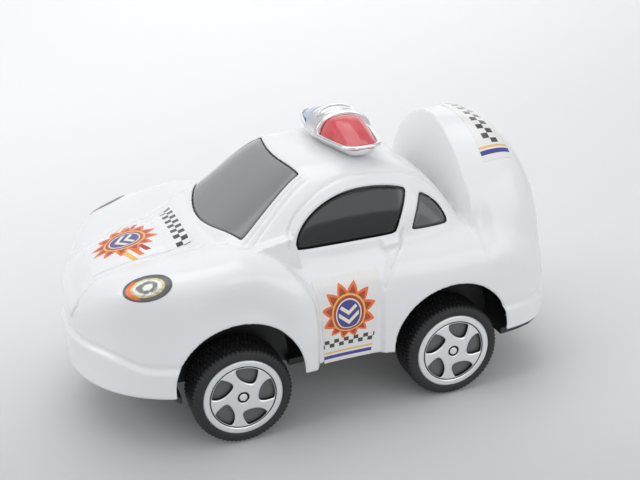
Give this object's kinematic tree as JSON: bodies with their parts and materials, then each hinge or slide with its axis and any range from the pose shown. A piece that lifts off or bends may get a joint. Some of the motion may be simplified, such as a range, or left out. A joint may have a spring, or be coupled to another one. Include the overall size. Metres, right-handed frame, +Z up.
{
  "type": "toy patrol car",
  "caption": "Friction-drive toy patrol car with a one-piece white shell, roof light bar, smoked windows, tall arched tail and tyred wheels on two turning axles.",
  "frame": {"origin": "on the ground under the middle of the car's length and width", "axes": "+X points to the nose, +Y to the car's left, +Z up"},
  "size_m": [0.148, 0.081, 0.0858],
  "materials": {
    "shell_white": "glossy moulded",
    "smoked_window": "glossy smoked",
    "chassis_black": "satin moulded",
    "chrome_trim": "vacuum plated",
    "red_clear": "clear tinted",
    "blue_clear": "clear tinted",
    "gear_plastic": "satin moulded",
    "steel": "drawn and plated",
    "flywheel_metal": "turned",
    "wheel_silver": "foil stamped over black",
    "tyre_rubber": "moulded tread",
    "label_print": "printed film"
  },
  "bodies": {
    "car": {"body_shell": "shell_white", "window_insert": "smoked_window", "chassis": "chassis_black", "body_screws": "steel", "lightbar_tray": "chrome_trim", "lightbar_bridge": "chrome_trim", "red_lens": "red_clear", "blue_lens": "blue_clear", "gearbox_left": "gear_plastic", "gearbox_right": "gear_plastic", "gearbox_screws": "steel", "idler_pin": "steel", "hood_label": "label_print", "door_label_left": "label_print", "door_label_right": "label_print", "tail_label": "label_print", "headlight_label_left": "label_print", "headlight_label_right": "label_print"},
    "front_wheelset": {"front_axle": "steel", "wheel_front_left": "wheel_silver", "wheel_front_right": "wheel_silver", "tyre_front_left": "tyre_rubber", "tyre_front_right": "tyre_rubber"},
    "rear_wheelset": {"rear_axle": "steel", "wheel_rear_left": "wheel_silver", "wheel_rear_right": "wheel_silver", "tyre_rear_left": "tyre_rubber", "tyre_rear_right": "tyre_rubber", "drive_gear": "gear_plastic"},
    "idler": {"idler_gear": "gear_plastic"},
    "flywheel": {"flywheel": "flywheel_metal", "flywheel_pinion": "gear_plastic"}
  },
  "joints": [
    {"name": "front_axle_spin", "type": "hinge", "parent": "car", "child": "front_wheelset", "pos_m": [0.031, 0, 0.015], "axis": [0, 1, 0], "continuous": true},
    {"name": "rear_axle_spin", "type": "hinge", "parent": "car", "child": "rear_wheelset", "pos_m": [-0.0354, 0, 0.015], "axis": [0, 1, 0], "continuous": true},
    {"name": "idler_spin", "type": "hinge", "parent": "car", "child": "idler", "pos_m": [-0.02717, 0, 0.01975], "axis": [0, 1, 0], "continuous": true},
    {"name": "flywheel_spin", "type": "hinge", "parent": "car", "child": "flywheel", "pos_m": [-0.01732, 0, 0.02149], "axis": [0, 1, 0], "continuous": true}
  ],
  "couplings": [
    {"joint": "idler_spin", "follows": "rear_axle_spin", "ratio": -2.1667},
    {"joint": "flywheel_spin", "follows": "rear_axle_spin", "ratio": 5.0556}
  ]
}
